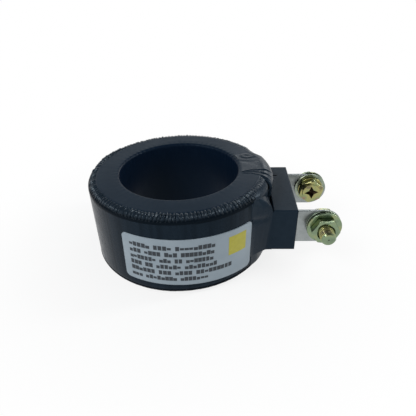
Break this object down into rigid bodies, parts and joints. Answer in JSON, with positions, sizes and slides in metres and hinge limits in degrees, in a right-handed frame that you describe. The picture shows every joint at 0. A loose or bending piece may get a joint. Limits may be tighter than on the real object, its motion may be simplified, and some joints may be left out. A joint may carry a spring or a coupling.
{
  "type": "current transformer",
  "caption": "Ring-core current transformer wrapped in pleated black tape, with an open bore for the primary conductor and a side block whose tabs carry clamp screws.",
  "frame": {"origin": "centre of the bore at half the ring's height", "axes": "+Z along the bore, +X from the bore towards the terminal block, the label faces -Y"},
  "size_m": [0.1048, 0.0762, 0.0353],
  "materials": {
    "core_steel": "wound silicon steel strip, bare",
    "end_board": "insulating board, dull",
    "core_wrap": "insulating tape, dull",
    "copper": "enamelled copper, satin",
    "clear_film": "polyester film, satin",
    "black_tape": "pleated plastic tape, satin gloss",
    "black_film": "smooth tape band, gloss",
    "resin": "filling resin, dull",
    "block_plastic": "moulded plastic, satin",
    "tab_metal": "tinned strip, satin",
    "sleeve_red": "varnished sleeve, satin",
    "sleeve_blue": "varnished sleeve, satin",
    "zinc_yellow": "yellow zinc plating, bright",
    "zinc_grey": "zinc plating, satin",
    "label_film": "silvered label film, satin",
    "label_ink": "printed ink, dull",
    "label_yellow": "printed colour field, satin"
  },
  "bodies": {
    "root": {"core": "core_steel", "core_end_ring_top": "end_board", "core_end_ring_bottom": "end_board", "core_inner_wrap": "core_wrap", "core_outer_wrap": "core_wrap", "secondary_winding": "copper", "winding_film": "clear_film", "tape_jacket": "black_tape", "outer_band": "black_film", "rim_gathers_top": "black_tape", "rim_gathers_bottom": "black_tape", "binding_tape_1": "black_tape", "binding_tape_2": "black_tape", "bond_pad": "resin", "terminal_block": "block_plastic", "block_potting": "resin", "terminal_tab_1": "tab_metal", "terminal_tab_2": "tab_metal", "lead_wire_1": "copper", "lead_wire_2": "copper", "lead_sleeve_1": "sleeve_red", "lead_sleeve_2": "sleeve_blue", "terminal_screw_1": "zinc_yellow", "terminal_screw_2": "zinc_yellow", "head_spring_washer_2": "zinc_yellow", "head_flat_washer_2": "zinc_grey", "tab_flat_washer_1": "zinc_grey", "label_base": "label_film", "label_print": "label_ink", "label_patch": "label_yellow"},
    "clamp_1": {"clamp_spring_washer_1": "zinc_yellow", "clamp_flat_washer_1": "zinc_yellow"},
    "nut_1": {"terminal_nut_1": "zinc_yellow"},
    "clamp_2": {"clamp_flat_washer_2": "zinc_yellow"},
    "nut_2": {"terminal_nut_2": "zinc_yellow"}
  },
  "joints": [
    {"name": "nut_1_travel", "type": "slide", "parent": "root", "child": "clamp_1", "axis": [0, -1, 0], "range_m": [0, 0.004]},
    {"name": "nut_1_turn", "type": "hinge", "parent": "clamp_1", "child": "nut_1", "pos_m": [0.0593, -0.0152, 0.0003], "axis": [0, -1, 0], "range_deg": [0, 1440]},
    {"name": "nut_2_travel", "type": "slide", "parent": "root", "child": "clamp_2", "axis": [0, 1, 0], "range_m": [0, 0.004]},
    {"name": "nut_2_turn", "type": "hinge", "parent": "clamp_2", "child": "nut_2", "pos_m": [0.0593, 0.0152, 0.0003], "axis": [0, 1, 0], "range_deg": [0, 1440]}
  ],
  "couplings": [
    {"joint": "nut_1_turn", "follows": "nut_1_travel", "rad_per_m": 6283.2},
    {"joint": "nut_2_turn", "follows": "nut_2_travel", "rad_per_m": 6283.2}
  ]
}
